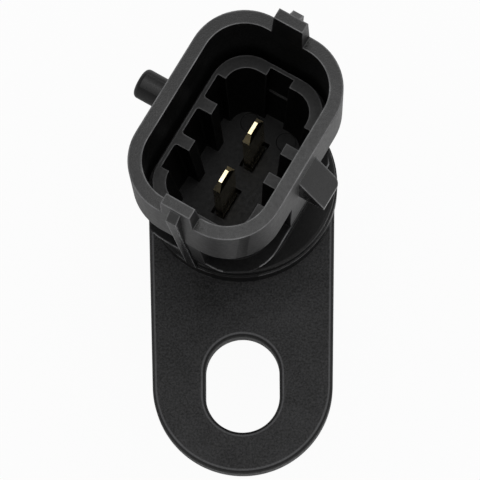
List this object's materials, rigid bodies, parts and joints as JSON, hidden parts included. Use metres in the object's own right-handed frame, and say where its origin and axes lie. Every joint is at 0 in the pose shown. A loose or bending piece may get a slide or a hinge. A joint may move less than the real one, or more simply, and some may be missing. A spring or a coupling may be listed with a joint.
{
  "type": "crankshaft position sensor",
  "caption": "Inductive crankshaft sensor with a sealed round probe, a slotted flange plate and a coded plug socket with end tabs, latch, guide peg and blade terminals.",
  "frame": {"origin": "where the probe axis meets the underside of the flange plate, the face that rests on the engine", "axes": "+Z along the probe axis and out of the plug socket, -Z into the engine, -Y towards the adjusting slot"},
  "size_m": [0.0204, 0.0408, 0.0523],
  "materials": {
    "housing_plastic": "satin black glass-filled moulding",
    "plate_coating": "fine-textured black coating on stamped steel",
    "terminal_brass": "bright stamped and coined",
    "seal_rubber": "smooth black",
    "former_plastic": "dark moulded",
    "winding_copper": "enamelled copper wire",
    "pole_iron": "turned soft iron",
    "magnet_alloy": "ground magnet alloy"
  },
  "bodies": {
    "root": {"housing": "housing_plastic", "flange_plate": "plate_coating", "terminal_a": "terminal_brass", "terminal_b": "terminal_brass", "o_ring": "seal_rubber", "coil_bobbin": "former_plastic", "coil_winding": "winding_copper", "pole_pin": "pole_iron", "magnet": "magnet_alloy"}
  },
  "joints": []
}
